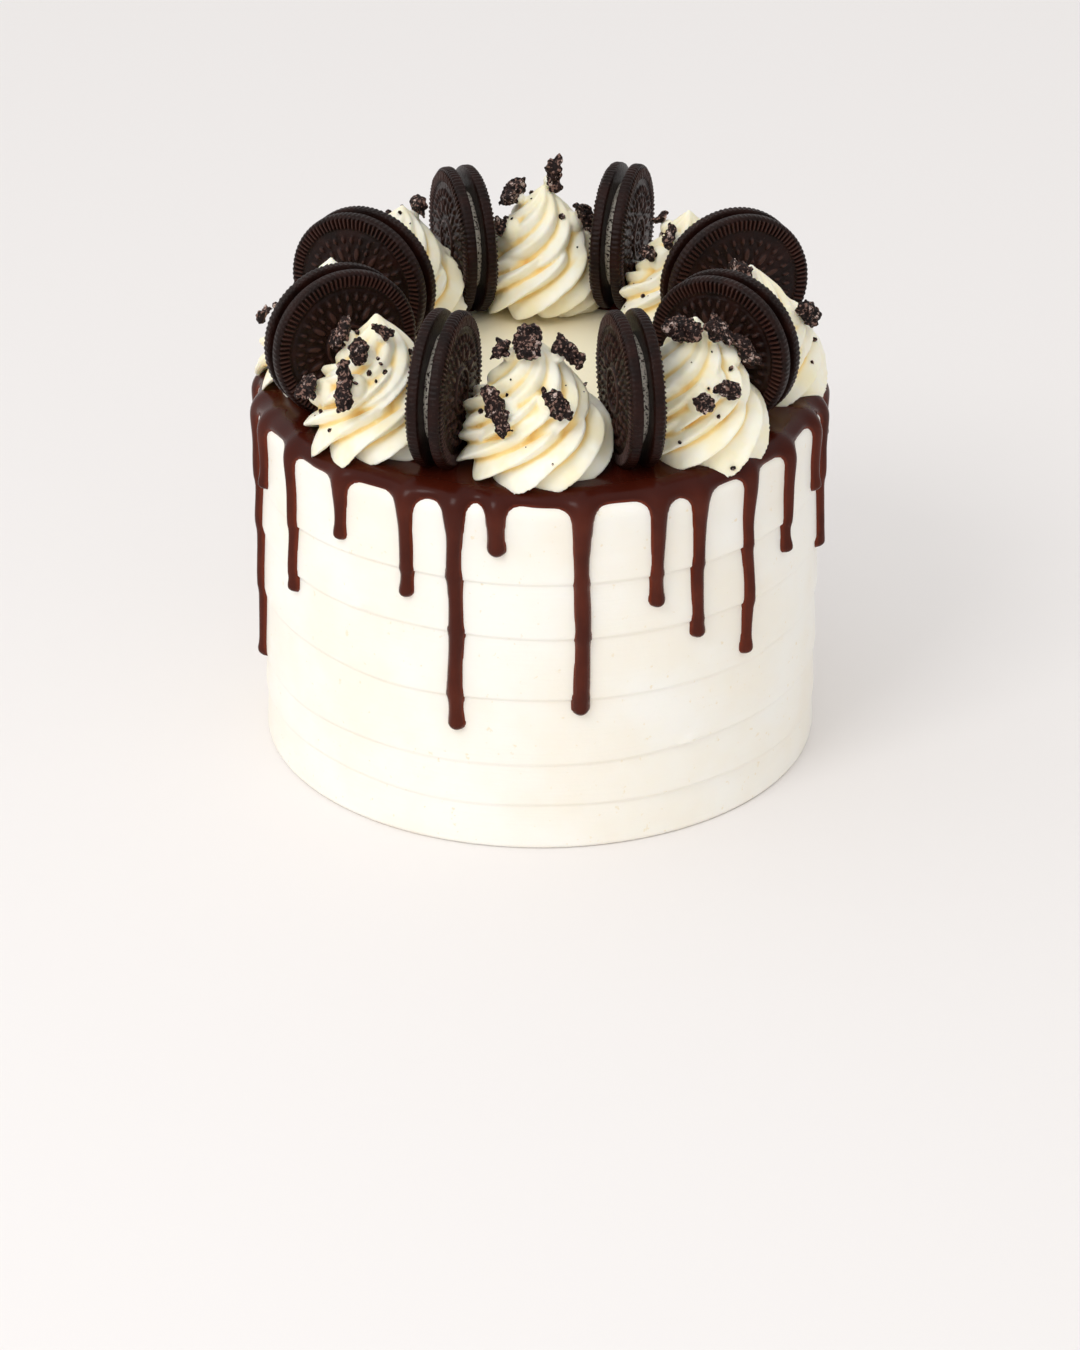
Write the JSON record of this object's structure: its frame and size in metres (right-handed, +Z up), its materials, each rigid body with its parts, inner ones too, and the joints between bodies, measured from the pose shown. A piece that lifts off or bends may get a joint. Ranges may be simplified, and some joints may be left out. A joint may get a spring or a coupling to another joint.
{
  "type": "layer cake",
  "caption": "Tall round cream-covered cake with a chocolate drip, a ring of piped cream swirls, sandwich biscuits standing on edge between them, and broken biscuit on top.",
  "frame": {"origin": "centre of the cake's flat underside", "axes": "+Z up through the middle of the cake; the side of the cake that the picture shows faces -Y"},
  "size_m": [0.1739, 0.1733, 0.162],
  "materials": {
    "buttercream": "smooth combed buttercream, satin",
    "chocolate": "set chocolate, soft gloss",
    "piped_cream": "piped cream, satin",
    "cocoa_wafer": "dark baked cocoa wafer, dry",
    "filling": "white sugar filling, matt",
    "biscuit_crumb": "broken cocoa wafer, rough"
  },
  "bodies": {
    "root": {"buttercream_cake": "buttercream", "chocolate_pour": "chocolate", "swirl_1": "piped_cream", "swirl_2": "piped_cream", "swirl_3": "piped_cream", "swirl_4": "piped_cream", "swirl_5": "piped_cream", "swirl_6": "piped_cream", "swirl_7": "piped_cream", "swirl_8": "piped_cream", "wafer_right_1": "cocoa_wafer", "wafer_left_1": "cocoa_wafer", "filling_1": "filling", "wafer_right_2": "cocoa_wafer", "wafer_left_2": "cocoa_wafer", "filling_2": "filling", "wafer_right_3": "cocoa_wafer", "wafer_left_3": "cocoa_wafer", "filling_3": "filling", "wafer_right_4": "cocoa_wafer", "wafer_left_4": "cocoa_wafer", "filling_4": "filling", "wafer_right_5": "cocoa_wafer", "wafer_left_5": "cocoa_wafer", "filling_5": "filling", "wafer_right_6": "cocoa_wafer", "wafer_left_6": "cocoa_wafer", "filling_6": "filling", "wafer_right_7": "cocoa_wafer", "wafer_left_7": "cocoa_wafer", "filling_7": "filling", "wafer_right_8": "cocoa_wafer", "wafer_left_8": "cocoa_wafer", "filling_8": "filling", "chunk_1_1": "biscuit_crumb", "chunk_1_2": "biscuit_crumb", "chunk_1_3": "biscuit_crumb", "chunk_1_4": "biscuit_crumb", "chunk_1_5": "biscuit_crumb", "chunk_2_1": "biscuit_crumb", "chunk_2_2": "biscuit_crumb", "chunk_2_3": "biscuit_crumb", "chunk_2_4": "biscuit_crumb", "chunk_2_5": "biscuit_crumb", "chunk_3_1": "biscuit_crumb", "chunk_3_2": "biscuit_crumb", "chunk_4_1": "biscuit_crumb", "chunk_4_2": "biscuit_crumb", "chunk_4_3": "biscuit_crumb", "chunk_5_1": "biscuit_crumb", "chunk_5_2": "biscuit_crumb", "chunk_5_3": "biscuit_crumb", "chunk_5_4": "biscuit_crumb", "chunk_6_1": "biscuit_crumb", "chunk_7_1": "biscuit_crumb", "chunk_8_1": "biscuit_crumb", "chunk_8_2": "biscuit_crumb", "chunk_8_3": "biscuit_crumb", "chunk_8_4": "biscuit_crumb", "chunk_8_5": "biscuit_crumb"}
  },
  "joints": []
}
